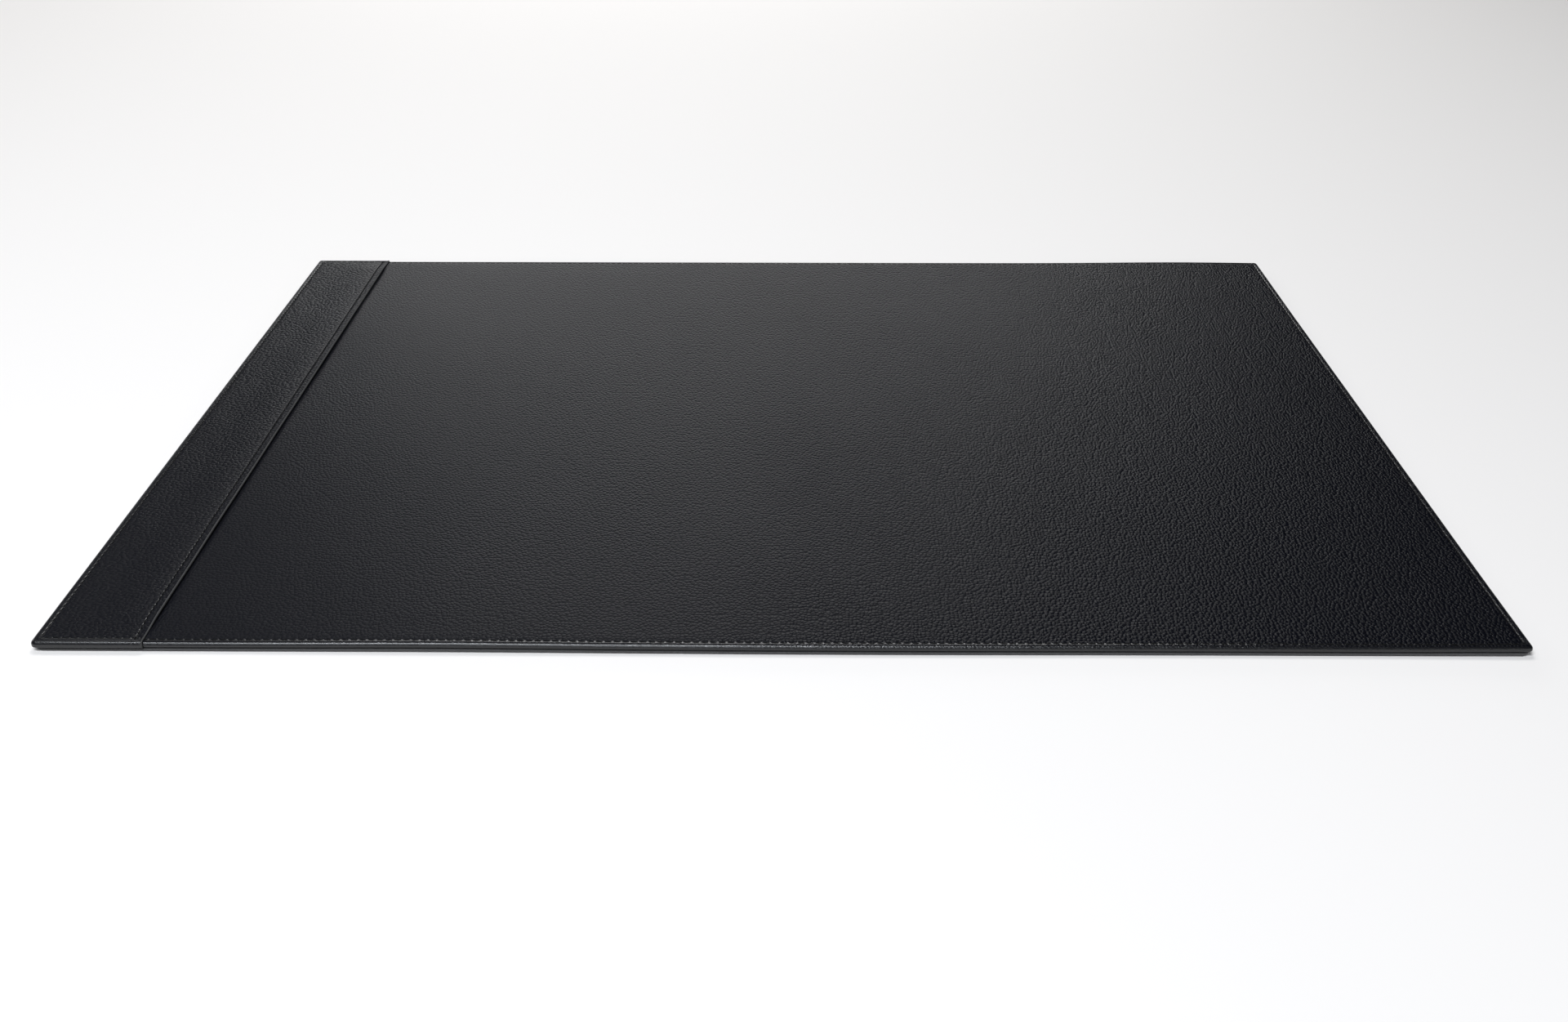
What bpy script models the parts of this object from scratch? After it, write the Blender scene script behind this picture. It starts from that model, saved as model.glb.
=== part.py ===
"""Leather desk mat with one side panel, in metres, +Z up.

The mat lies on a desk with its long side along X and its front edge at -Y. The panel is at -X.
The origin is the centre of the footprint, on the surface that the mat rests on.
Each leather is an open surface, given its thickness inwards, so that it wraps what lies inside it.
The panel is one leather in two solids, so that the thin slot for paper below it stays open.
"""

import math

import bmesh
import bpy

OBJECT_NAME = "desk_mat"

# Overall size, over the panel's outer faces
WIDTH = 0.700
DEPTH = 0.500
PANEL_WIDTH = 0.0525

# Thickness of each layer, and the glue line between two layers
BACKING = 0.0012
COVER_LEATHER = 0.0008
PANEL_LEATHER = 0.0006
BOARD = 0.0014
GLUE = 0.00015

# Heights, from the desk up
TURN_IN_BOTTOM = BACKING + GLUE
TURN_IN_TOP = TURN_IN_BOTTOM + COVER_LEATHER
BOARD_BOTTOM = TURN_IN_TOP + GLUE
BOARD_TOP = BOARD_BOTTOM + BOARD
COVER_TOP = BOARD_TOP + GLUE + COVER_LEATHER

# The panel's hem: the leather is turned under itself round a half circle
PAPER_SLOT = 0.00035
HEM_RADIUS = PANEL_LEATHER + 0.00005
HEM_RETURN = 0.009
HEM_STEPS = 6
HEM_BOTTOM = COVER_TOP + PAPER_SLOT
PANEL_TOP = HEM_BOTTOM + 2 * HEM_RADIUS

# Outer faces. The cover lies inside the panel on the three sides that the panel wraps.
PANEL_LEFT = -WIDTH / 2
PANEL_EDGE = PANEL_LEFT + PANEL_WIDTH
PANEL_SIDE = DEPTH / 2
COVER_LEFT = PANEL_LEFT + PANEL_LEATHER + GLUE
COVER_RIGHT = WIDTH / 2
COVER_SIDE = PANEL_SIDE - PANEL_LEATHER - GLUE
COVER_TURN_START = PANEL_EDGE + 0.0005
TURN_IN = 0.015

# Roundings: the corners in plan, and the edges in section
CORNER = 0.0035
CORNER_STEPS = 6
PANEL_TOP_ROUND = 0.0011
COVER_TOP_ROUND = 0.0012
LOWER_ROUND = 0.0010
ROUND_STEPS = 3
BACKING_CORNER = 0.005
BACKING_SETBACK = 0.0006
SOFTENED_EDGE = 0.0003

# Stitching: how far in it runs, the threads and the grooves that they are drawn into
EDGE_STITCH = 0.004
HEM_STITCH = 0.004
STITCH_CORNER = 0.0015
STITCH_CORNER_STEPS = 4
THREAD = 0.0002
GROOVE = 0.00035
THREAD_SINK = 0.00006
THREAD_CLEARANCE = 0.0007
UNDER_THREAD_LIFT = 0.00022
UNDER_GROOVE = 0.00055
HEM_BOBBIN_THREAD = 0.00015
HEM_BOBBIN_GROOVE = 0.0003
HEM_BOBBIN_LIFT = 0.00005
HEM_BOBBIN_END = 0.0025
STITCH_X = WIDTH / 2 - EDGE_STITCH
STITCH_Y = DEPTH / 2 - EDGE_STITCH
HEM_STITCH_X = PANEL_EDGE - HEM_STITCH
STEP_DOWN_TOP = PANEL_EDGE + 0.0005
STEP_DOWN_FOOT = PANEL_EDGE + 0.0009
GROOVE_OVERRUN = 0.0012

# Places closer than SAME count as one place, and points closer than MERGE become one point
SAME = 1e-6
MERGE = 1e-7

# Plain colours: linear red, green and blue, with roughness
BLACK_LEATHER = ((0.022, 0.022, 0.024), 0.55)
BLACK_BACKING = ((0.030, 0.030, 0.031), 0.75)
BLACK_THREAD = ((0.018, 0.018, 0.020), 0.60)
GREY_BOARD = ((0.300, 0.290, 0.270), 0.85)
BROWN_CARD = ((0.360, 0.290, 0.210), 0.90)


def clear_scene():
    """Remove whatever the scene holds."""
    for thing in list(bpy.data.objects):
        bpy.data.objects.remove(thing)


def new_collection(name):
    """A collection linked to the scene."""
    collection = bpy.data.collections.new(name)
    bpy.context.scene.collection.children.link(collection)
    return collection


def set_material(thing, look):
    """Give an object a Principled material of its own."""
    colour, roughness = look
    material = bpy.data.materials.new(thing.name)
    material.use_nodes = True
    shader = material.node_tree.nodes["Principled BSDF"]
    shader.inputs["Base Color"].default_value = (*colour, 1)
    shader.inputs["Roughness"].default_value = roughness
    shader.inputs["Metallic"].default_value = 0
    thing.data.materials.append(material)


def add_object(name, mesh, look, collection):
    """Wrap a bmesh as a named object, and free the bmesh."""
    data = bpy.data.meshes.new(name)
    mesh.to_mesh(data)
    mesh.free()
    thing = bpy.data.objects.new(name, data)
    collection.objects.link(thing)
    set_material(thing, look)
    return thing


def box(x_range, y_range, z_range):
    """A box between two values on each axis."""
    mesh = bmesh.new()
    bmesh.ops.create_cube(mesh, size=1)
    for vert in mesh.verts:
        for axis, (low, high) in enumerate((x_range, y_range, z_range)):
            vert.co[axis] = low if vert.co[axis] < 0 else high
    return mesh


def round_edges(mesh, chosen, radius, steps):
    """Bevel the edges that the test picks."""
    edges = [edge for edge in mesh.edges if chosen(edge)]
    bmesh.ops.bevel(
        mesh, geom=edges, offset=radius, segments=steps, profile=0.5, affect="EDGES"
    )


def at(value, axis):
    """A test for edges that lie in the plane where an axis has this value."""
    return lambda edge: all(abs(vert.co[axis] - value) < SAME for vert in edge.verts)


def upright_between(x_low, x_high):
    """A test for a box's upright edges in this range of X."""

    def chosen(edge):
        first, second = (vert.co for vert in edge.verts)
        return (first.xy - second.xy).length < SAME and x_low < first.x < x_high

    return chosen


def cut_at(mesh, faces, axis, value):
    """Divide the faces along the plane where an axis has this value."""
    spot, normal = [0, 0, 0], [0, 0, 0]
    spot[axis], normal[axis] = value, 1
    edges = {edge for face in faces for edge in face.edges}
    verts = {vert for face in faces for vert in face.verts}
    geometry = list(faces) + list(edges) + list(verts)
    bmesh.ops.bisect_plane(mesh, geom=geometry, dist=MERGE, plane_co=spot, plane_no=normal)


def remove_faces(mesh, chosen):
    """Delete the faces whose centre passes the test."""
    faces = [face for face in mesh.faces if chosen(face.calc_center_median())]
    bmesh.ops.delete(mesh, geom=faces, context="FACES")


def open_underside(mesh, height, x_range, y_limit):
    """Cut the middle out of the underside, which leaves the turned-in margins."""
    x_low, x_high = x_range
    for axis, value in ((0, x_low), (0, x_high), (1, -y_limit), (1, y_limit)):
        cut_at(mesh, [f for f in mesh.faces if is_level(f, height)], axis, value)
    remove_faces(
        mesh,
        lambda c: abs(c.z - height) < SAME and x_low < c.x < x_high and abs(c.y) < y_limit,
    )


def is_level(face, height):
    """Whether a face lies flat at this height."""
    return all(abs(vert.co.z - height) < SAME for vert in face.verts)


def thicken(thing, thickness):
    """Give an open surface its thickness, inwards."""
    solid = thing.modifiers.new("leather", "SOLIDIFY")
    solid.thickness = thickness
    solid.offset = -1
    solid.use_even_offset = True


def cut_groove(thing, cutter):
    """Cut a groove into an object."""
    cut = thing.modifiers.new(cutter.name, "BOOLEAN")
    cut.operation = "DIFFERENCE"
    cut.solver = "EXACT"
    cut.object = cutter


def tube(name, points, radius, closed, collection):
    """A round tube along points, as a curve object."""
    curve = bpy.data.curves.new(name, "CURVE")
    curve.dimensions = "3D"
    curve.bevel_depth = radius
    curve.bevel_resolution = 2
    curve.use_fill_caps = True
    spline = curve.splines.new("POLY")
    spline.points.add(len(points) - 1)
    for spot, point in zip(spline.points, points):
        spot.co = (*point, 1)
    spline.use_cyclic_u = closed
    thing = bpy.data.objects.new(name, curve)
    collection.objects.link(thing)
    return thing


def groove_cutter(name, points, radius, closed, collection):
    """A tube made into a closed mesh, for cutting a groove."""
    thing = tube(name, points, radius, closed, collection)
    bpy.context.view_layer.update()
    graph = bpy.context.evaluated_depsgraph_get()
    data = bpy.data.meshes.new_from_object(thing.evaluated_get(graph))
    mesh = bmesh.new()
    mesh.from_mesh(data)
    bmesh.ops.remove_doubles(mesh, verts=mesh.verts, dist=MERGE)
    bmesh.ops.recalc_face_normals(mesh, faces=mesh.faces)
    mesh.to_mesh(data)
    mesh.free()
    cutter = bpy.data.objects.new(name, data)
    cutter.matrix_world = thing.matrix_world
    bpy.data.objects.remove(thing)
    cutter.name = name
    collection.objects.link(cutter)
    cutter.hide_render = True
    cutter.display_type = "WIRE"
    return cutter


def corner(x_side, y_side, from_x_run):
    """The rounded stitch corner at these signs of X and Y, as X and Y pairs."""
    centre_x = x_side * (STITCH_X - STITCH_CORNER)
    centre_y = y_side * (STITCH_Y - STITCH_CORNER)
    points = []
    for step in range(STITCH_CORNER_STEPS + 1):
        angle = math.pi / 2 * step / STITCH_CORNER_STEPS
        if from_x_run:
            angle = math.pi / 2 - angle
        points.append(
            (
                centre_x + x_side * STITCH_CORNER * math.cos(angle),
                centre_y + y_side * STITCH_CORNER * math.sin(angle),
            )
        )
    return points


def three_sides(x_side, x_open, height):
    """The stitch line along one end and back along both long sides to x_open, front to back."""
    flat = [(x_open, -STITCH_Y)]
    flat += corner(x_side, -1, True)
    flat += corner(x_side, 1, False)
    flat += [(x_open, STITCH_Y)]
    return [(x, y, height) for x, y in flat]


def all_sides(height):
    """The whole stitch line round the mat, as a closed loop."""
    flat = corner(1, -1, True) + corner(1, 1, False)
    flat += corner(-1, 1, True) + corner(-1, -1, False)
    return [(x, y, height) for x, y in flat]


def backing_sheet(parts, cutters):
    """The sheet that closes the underside."""
    x_low = PANEL_LEFT + BACKING_SETBACK
    x_high = COVER_RIGHT - BACKING_SETBACK
    side = PANEL_SIDE - BACKING_SETBACK
    mesh = box((x_low, x_high), (-side, side), (0, BACKING))
    round_edges(mesh, upright_between(-WIDTH, WIDTH), BACKING_CORNER, CORNER_STEPS)
    round_edges(mesh, at(BACKING, 2), SOFTENED_EDGE, 1)
    round_edges(mesh, at(0, 2), SOFTENED_EDGE, 1)
    thing = add_object("backing_sheet", mesh, BLACK_BACKING, parts)
    cut_groove(thing, groove_cutter("under_groove", all_sides(0), UNDER_GROOVE, True, cutters))


def levelling_sheet(parts):
    """The card between the turned-in margins, which keeps the underside level."""
    reach_x = WIDTH / 2 - TURN_IN - SOFTENED_EDGE
    reach_y = COVER_SIDE - TURN_IN - SOFTENED_EDGE
    mesh = box((-reach_x, reach_x), (-reach_y, reach_y), (TURN_IN_BOTTOM, TURN_IN_TOP))
    add_object("levelling_sheet", mesh, BROWN_CARD, parts)


def core_board(parts):
    """The stiff board that the leathers are wrapped round."""
    wrap = COVER_LEATHER + GLUE
    side = COVER_SIDE - wrap
    mesh = box(
        (COVER_LEFT + wrap, COVER_RIGHT - wrap), (-side, side), (BOARD_BOTTOM, BOARD_TOP)
    )
    round_edges(mesh, upright_between(-WIDTH, WIDTH), CORNER - wrap, CORNER_STEPS)
    round_edges(mesh, at(BOARD_TOP, 2), SOFTENED_EDGE, 1)
    round_edges(mesh, at(BOARD_BOTTOM, 2), SOFTENED_EDGE, 1)
    add_object("core_board", mesh, GREY_BOARD, parts)


def top_cover(parts, cutters):
    """The main leather: turned in below the board, and cut off at the board's underside below the panel."""
    mesh = box(
        (COVER_LEFT, COVER_RIGHT), (-COVER_SIDE, COVER_SIDE), (TURN_IN_BOTTOM, COVER_TOP)
    )
    left_corner = CORNER - PANEL_LEATHER - GLUE
    round_edges(mesh, upright_between(-WIDTH, 0), left_corner, CORNER_STEPS)
    round_edges(mesh, upright_between(0, WIDTH), CORNER, CORNER_STEPS)
    round_edges(mesh, at(COVER_TOP, 2), COVER_TOP_ROUND, ROUND_STEPS)
    round_edges(mesh, at(TURN_IN_BOTTOM, 2), LOWER_ROUND, ROUND_STEPS)
    inner_x = (COVER_TURN_START, COVER_RIGHT - TURN_IN)
    open_underside(mesh, TURN_IN_BOTTOM, inner_x, COVER_SIDE - TURN_IN)
    cut_at(mesh, mesh.faces, 0, COVER_TURN_START)
    cut_at(mesh, mesh.faces, 2, BOARD_BOTTOM)
    remove_faces(mesh, lambda c: c.x < COVER_TURN_START and c.z < BOARD_BOTTOM)
    thing = add_object("top_cover", mesh, BLACK_LEATHER, parts)
    thicken(thing, COVER_LEATHER)
    groove = three_sides(1, STEP_DOWN_TOP, COVER_TOP)
    cut_groove(thing, groove_cutter("cover_groove", groove, GROOVE, False, cutters))


def turn_hem(mesh):
    """Roll the top's free edge under and run it back below the top."""
    start_x = PANEL_EDGE - HEM_RADIUS
    edges = [
        edge
        for edge in mesh.edges
        if at(start_x, 0)(edge) and at(PANEL_TOP, 2)(edge)
    ]
    rolled = bmesh.ops.spin(
        mesh,
        geom=edges,
        cent=(start_x, 0, PANEL_TOP - HEM_RADIUS),
        axis=(0, 1, 0),
        angle=math.pi,
        steps=HEM_STEPS,
    )
    last = [item for item in rolled["geom_last"] if isinstance(item, bmesh.types.BMEdge)]
    run = bmesh.ops.extrude_edge_only(mesh, edges=last)["geom"]
    moved = [item for item in run if isinstance(item, bmesh.types.BMVert)]
    bmesh.ops.translate(mesh, verts=moved, vec=(-HEM_RETURN, 0, 0))
    bmesh.ops.remove_doubles(mesh, verts=mesh.verts, dist=MERGE)
    bmesh.ops.recalc_face_normals(mesh, faces=mesh.faces)


def panel_surface():
    """The panel's outer face, open below and on the right, without its hem."""
    open_x = PANEL_EDGE - HEM_RADIUS
    mesh = box((PANEL_LEFT, open_x), (-PANEL_SIDE, PANEL_SIDE), (TURN_IN_BOTTOM, PANEL_TOP))
    left_edges = upright_between(-WIDTH, PANEL_LEFT + CORNER)
    round_edges(mesh, left_edges, CORNER, CORNER_STEPS)
    on_right = at(open_x, 0)
    at_top, at_foot = at(PANEL_TOP, 2), at(TURN_IN_BOTTOM, 2)
    round_edges(
        mesh, lambda e: at_top(e) and not on_right(e), PANEL_TOP_ROUND, ROUND_STEPS
    )
    round_edges(mesh, lambda e: at_foot(e) and not on_right(e), LOWER_ROUND, ROUND_STEPS)
    beyond = open_x + TURN_IN
    open_underside(mesh, TURN_IN_BOTTOM, (PANEL_LEFT + TURN_IN, beyond), PANEL_SIDE - TURN_IN)
    right_faces = [f for f in mesh.faces if all(on_right(edge) for edge in f.edges)]
    bmesh.ops.delete(mesh, geom=right_faces, context="FACES")
    return mesh


def side_panel(parts, cutters):
    """The part of the panel's leather that lies over the mat, with a turned hem on its free edge."""
    mesh = panel_surface()
    cut_at(mesh, mesh.faces, 2, HEM_BOTTOM)
    remove_faces(mesh, lambda c: c.z < HEM_BOTTOM)
    turn_hem(mesh)
    thing = add_object("side_panel", mesh, BLACK_LEATHER, parts)
    thicken(thing, PANEL_LEATHER)
    edge_line = three_sides(-1, PANEL_EDGE + GROOVE_OVERRUN, PANEL_TOP)
    cut_groove(thing, groove_cutter("panel_groove", edge_line, GROOVE, False, cutters))
    hem_line = [(HEM_STITCH_X, y, PANEL_TOP) for y in (-STITCH_Y, STITCH_Y)]
    cut_groove(thing, groove_cutter("hem_groove", hem_line, GROOVE, False, cutters))
    reach = PANEL_SIDE - HEM_BOBBIN_END
    below = [(HEM_STITCH_X, y, HEM_BOTTOM) for y in (-reach, reach)]
    cut_groove(
        thing,
        groove_cutter("hem_under_groove", below, HEM_BOBBIN_GROOVE, False, cutters),
    )


def side_panel_turn_ins(parts):
    """The margins of the same leather, wrapped over the front, left and back edges and turned in."""
    top = HEM_BOTTOM - GLUE
    mesh = panel_surface()
    cut_at(mesh, mesh.faces, 2, top)
    remove_faces(mesh, lambda c: c.z > top)
    thing = add_object("side_panel_turn_ins", mesh, BLACK_LEATHER, parts)
    thicken(thing, PANEL_LEATHER)


def edge_threads(parts):
    """The two threads of the lock stitch round all four sides."""
    low, high = COVER_TOP - THREAD_SINK, PANEL_TOP - THREAD_SINK
    upper = three_sides(1, STEP_DOWN_FOOT, low)
    upper += reversed(three_sides(-1, STEP_DOWN_TOP, high))
    needle = tube("edge_needle_thread", upper, THREAD, True, parts)
    set_material(needle, BLACK_THREAD)
    lower = all_sides(UNDER_THREAD_LIFT)
    bobbin = tube("edge_bobbin_thread", lower, THREAD, True, parts)
    set_material(bobbin, BLACK_THREAD)


def hem_threads(parts):
    """The two threads of the lock stitch along the panel's hem."""
    reach = STITCH_Y - THREAD_CLEARANCE
    height = PANEL_TOP - THREAD_SINK
    points = [(HEM_STITCH_X, y, height) for y in (-reach, reach)]
    needle = tube("panel_needle_thread", points, THREAD, False, parts)
    set_material(needle, BLACK_THREAD)
    height = HEM_BOTTOM + HEM_BOBBIN_LIFT
    points = [(HEM_STITCH_X, y, height) for y in (-reach, reach)]
    bobbin = tube("panel_bobbin_thread", points, HEM_BOBBIN_THREAD, False, parts)
    set_material(bobbin, BLACK_THREAD)


def build():
    """Make the whole mat, from the desk up."""
    clear_scene()
    parts = new_collection(OBJECT_NAME)
    cutters = new_collection(OBJECT_NAME + "_cutters")
    backing_sheet(parts, cutters)
    levelling_sheet(parts)
    core_board(parts)
    top_cover(parts, cutters)
    side_panel(parts, cutters)
    side_panel_turn_ins(parts)
    edge_threads(parts)
    hem_threads(parts)


build()
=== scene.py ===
"""Looks of a black leather desk mat: pebbled leather on a board, a hemmed side panel and lock stitching."""

import math

import bmesh
import bpy
import numpy as np
from mathutils import Matrix, Vector


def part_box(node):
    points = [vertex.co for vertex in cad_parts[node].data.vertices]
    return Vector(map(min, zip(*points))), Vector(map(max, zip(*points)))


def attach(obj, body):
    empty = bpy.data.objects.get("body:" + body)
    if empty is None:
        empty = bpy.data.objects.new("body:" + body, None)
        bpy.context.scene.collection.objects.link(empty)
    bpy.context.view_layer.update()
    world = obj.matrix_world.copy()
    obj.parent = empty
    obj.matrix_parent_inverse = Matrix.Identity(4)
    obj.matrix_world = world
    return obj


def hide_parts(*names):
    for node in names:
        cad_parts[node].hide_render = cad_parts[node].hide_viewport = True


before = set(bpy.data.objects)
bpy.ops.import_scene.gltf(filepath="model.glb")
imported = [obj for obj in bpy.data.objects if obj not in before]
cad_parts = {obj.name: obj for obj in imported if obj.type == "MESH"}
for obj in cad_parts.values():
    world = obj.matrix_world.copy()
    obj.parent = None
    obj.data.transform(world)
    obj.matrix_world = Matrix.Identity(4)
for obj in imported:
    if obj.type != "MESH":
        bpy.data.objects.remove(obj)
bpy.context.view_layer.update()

MM = 0.001

# Boxes of the CAD nodes that the pieces stand for.
COVER = [np.array(corner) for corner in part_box("top_cover")]
PANEL = [np.array(corner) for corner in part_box("side_panel")]
BACKING = [np.array(corner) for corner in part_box("backing_sheet")]
BOARD = [np.array(corner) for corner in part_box("core_board")]
CARD = [np.array(corner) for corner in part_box("levelling_sheet")]

# Leather. Every edge is rolled over the board: a top round, a wall, a lower round and a turn-in.
# ROUND_SLOPE is how fast a corner's radius grows from one ring of the mesh to the next one out.
COVER_THICKNESS = 0.8 * MM
COVER_TOP_ROUND = 1.9 * MM
COVER_CORNER = 2.6 * MM
PANEL_THICKNESS = 0.38 * MM
PANEL_SKIVED = 0.3 * MM
PANEL_TOP_ROUND = 2.0 * MM
PANEL_LOW_TOP = COVER[1][2] + 0.65 * MM
PANEL_CORNER = 2.6 * MM
UNDER_ROUND = 0.7 * MM
TURN_IN = 15 * MM
TURN_IN_LEVEL = BACKING[1][2] + 0.15 * MM
LOWER_EDGE = TURN_IN_LEVEL + 0.5 * MM
SKIVED = 0.45 * MM
ROUND_SLOPE = 0.75
TOP_ROUND_POINTS, UNDER_ROUND_POINTS = 9, 7

# Hem of the panel's free edge.
HEM_EDGE = PANEL[1][0]
HEM_RETURN = 9 * MM
HEM_LINE = HEM_EDGE - 4 * MM
HEM_SHOULDER = 24 * MM
HEM_SLACK = 0.05 * MM

# The main leather's lower side stops here, a little past the panel's free edge.
COVER_CUT = HEM_EDGE + 0.3 * MM

# Stitching.
PITCH = 4.1 * MM
EDGE_MARGIN = 4 * MM
STITCH_CORNER = 1.3 * MM
THREAD_RADIUS = 0.26 * MM
STITCH_RISE, STITCH_SLANT = 0.75 * MM, 0.3 * MM
STITCH_SHARES = (0, 0.035, 0.08, 0.15, 0.26, 0.42, 0.58, 0.74, 0.85, 0.92, 0.965)
THREAD_REACH = 0.4 * MM
PLY_DEPTH, PLY_LENGTH = 0.09, 0.9 * MM
GROOVE_DEPTH, GROOVE_WIDTH = 0.34 * MM, 0.48 * MM
BRIDGE_WIDTH, BRIDGE_SLANT = 0.6 * MM, 0.8
PUCKER_DEPTH, PUCKER_WIDTH = 0.16 * MM, 1.9 * MM
SUNK = GROOVE_DEPTH + PUCKER_DEPTH - 0.8 * THREAD_RADIUS

# Where handling and the seam have pressed the grain smooth, as distances outside the stitch line. These
# strips are also painted a lighter, bluish black: painted light for the light that their rolled edges and
# stitch lips catch.
ROLLED_FROM = 2.0 * MM
SEWN_FROM, SEWN_TO = -0.5 * MM, 1.1 * MM

# Steps of the meshes: fine ones to a stitch near the stitching, fewer on walls, one to a stitch inside.
FINE, MIDDLE, WIDE = 6, 2, 1
CORNER_STEPS = 4
GRID_MARGIN = 8 * MM
SLAB_MARGIN = 12 * MM
HEM_SECTION_STEPS = 800

# Colours, the strength of the surround, and how far away the floor starts and ends to glow up to it.
BLACK = (0.0024, 0.0028, 0.0055)
# PAINTED_LIGHT_BLACK is painted light: a lighter, bluish black for the pressed-smooth edges and stitch
# strips, standing in for the light that their rolled walls and lips catch.
PAINTED_LIGHT_BLACK = (0.0075, 0.0077, 0.0095)
PALE = (0.862, 0.843, 0.826, 1.0)
WHITE, COOL, DAYLIGHT = (1.0, 1.0, 1.0), (0.90, 0.94, 1.0), (0.93, 0.96, 1.0)
SURROUND = 0.8
GLOW_CENTRE = (0.0, 0.4, 0.0)
GLOW_FROM, GLOW_TO = 1.45, 2.9

# Camera: angles in degrees. It looks this far down, and is turned and rolled a little.
CAMERA_PLACE = (0.0075, -0.835, 0.4136)
CAMERA_DOWN, CAMERA_TURN, CAMERA_ROLL = 29.902, 0.518, -0.068
SENSOR_WIDTH, LENS = 36.0, 35.163


# ---------------------------------------------------------------- numbers

def smoothstep(low, high, value):
    """0 at low, 1 at high, smooth between them."""
    share = np.clip((value - low) / (high - low), 0, 1)
    return share * share * (3 - 2 * share)


def bell(value, width):
    """1 at 0, falling to both sides over about the width."""
    return np.exp(-((value / width) ** 2))


def waves(x, y, wavelength, seed):
    """Soft undulation between about -1 and 1, from six sine waves in seeded directions."""
    picker = np.random.default_rng(seed)
    total = np.zeros_like(x)
    for _ in range(6):
        angle = picker.uniform(0, 2 * math.pi)
        length = wavelength * picker.uniform(0.7, 1.6)
        phase = picker.uniform(0, 2 * math.pi)
        total += np.sin(2 * math.pi * (x * math.cos(angle) + y * math.sin(angle)) / length + phase)
    return total / 3


def lie(points):
    """How the finished mat lies: one corner and both long edges lift a little, and the near edge bows."""
    x, y, z = points.T
    half_x, half_y = -PANEL[0][0], PANEL[1][1]
    near_edge = smoothstep(0.55 * half_y, half_y, -y)
    far_edge = smoothstep(0.55 * half_y, half_y, y)
    near_right = bell(np.hypot(x - half_x, y + half_y), 45 * MM)
    lift = 0.45 * MM * near_right
    lift += 0.9 * MM * far_edge * bell(x - 290 * MM, 70 * MM)
    lift += 0.4 * MM * near_edge * bell(x + 165 * MM, 60 * MM)
    bow = -0.7 * MM * near_edge * bell(x - 30 * MM, 120 * MM)
    return np.column_stack([x, y + bow, z + lift])


# ---------------------------------------------------------------- meshes

def straight(start, end, steps):
    """Points from start to end, both included."""
    return np.linspace(start, end, steps + 1)


def quarter(centre, radius, first_degrees, steps):
    """Points round a quarter circle, anticlockwise."""
    angle = np.radians(np.linspace(first_degrees, first_degrees + 90, steps + 1))
    return np.array(centre) + radius * np.column_stack([np.cos(angle), np.sin(angle)])


def closed_loop(low, high, radius, steps, fineness):
    """Points round a rectangle with round corners, anticlockwise from the front side's left end."""
    (x0, y0), (x1, y1) = low[:2] + radius, high[:2] - radius
    along_x, along_y = steps[0] * fineness, steps[1] * fineness
    turn = CORNER_STEPS * fineness
    parts = [
        straight((x0, y0 - radius), (x1, y0 - radius), along_x),
        quarter((x1, y0), radius, -90, turn),
        straight((x1 + radius, y0), (x1 + radius, y1), along_y),
        quarter((x1, y1), radius, 0, turn),
        straight((x1, y1 + radius), (x0, y1 + radius), along_x),
        quarter((x0, y1), radius, 90, turn),
        straight((x0 - radius, y1), (x0 - radius, y0), along_y),
        quarter((x0, y0), radius, 180, turn),
    ]
    return np.vstack([part[:-1] for part in parts])


def open_loop(low, high, radius, columns, rows):
    """Points along a rectangle's back, left and front sides. columns are shares of the front side's run."""
    (x0, y0), (_, y1) = low[:2] + radius, high[:2] - radius
    x1 = high[0]
    turn = CORNER_STEPS * FINE
    run = x0 + columns * (x1 - x0)
    parts = [
        np.column_stack([run[::-1], np.full_like(run, y1 + radius)]),
        quarter((x0, y1), radius, 90, turn),
        straight((x0 - radius, y1), (x0 - radius, y0), rows),
        quarter((x0, y0), radius, 180, turn),
        np.column_stack([run, np.full_like(run, y0 - radius)]),
    ]
    return np.vstack([part[:-1] for part in parts] + [parts[-1][-1:]])


class Surface:
    """Points and faces of one surface, built from rings and grids."""

    def __init__(self):
        self.blocks, self.faces, self.count = [], [], 0

    def add(self, points):
        """Adds points and returns their numbers."""
        self.blocks.append(np.asarray(points, float))
        numbers = np.arange(self.count, self.count + len(points))
        self.count += len(points)
        return numbers

    def ring(self, flat, height):
        """Adds flat points at a height, or each at its own."""
        return self.add(np.column_stack([flat, np.broadcast_to(height, len(flat))]))

    def bridge(self, before, after, closed=True):
        """Faces from one ring to the next one out. One may have a whole multiple of the other's steps."""
        steps = [len(ring) - (not closed) for ring in (before, after)]
        shared = min(steps)
        for i in range(shared):
            inside, outside = (
                [int(ring[j % len(ring)]) for j in range(i * n // shared, (i + 1) * n // shared + 1)]
                for ring, n in zip((before, after), steps)
            )
            self.faces.append(outside + inside[::-1])

    def grid(self, xs, ys, height, facing_up=True):
        """A grid of points with its faces; returns their numbers as rows of y."""
        x, y = np.meshgrid(xs, ys)
        numbers = self.ring(np.column_stack([x.ravel(), y.ravel()]), height).reshape(x.shape)
        corners = [numbers[:-1, :-1], numbers[:-1, 1:], numbers[1:, 1:], numbers[1:, :-1]]
        if not facing_up:
            corners.reverse()
        self.faces += np.stack([c.ravel() for c in corners], 1).tolist()
        return numbers

    def points(self):
        """All the points as rows."""
        return np.vstack(self.blocks)

    def mesh(self, name):
        """The surface as a mesh, with points that coincide welded."""
        mesh = bpy.data.meshes.new(name)
        mesh.from_pydata(self.points().tolist(), [], self.faces)
        welder = bmesh.new()
        welder.from_mesh(mesh)
        bmesh.ops.remove_doubles(welder, verts=welder.verts, dist=0.001 * MM)
        welder.to_mesh(mesh)
        welder.free()
        return mesh


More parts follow.
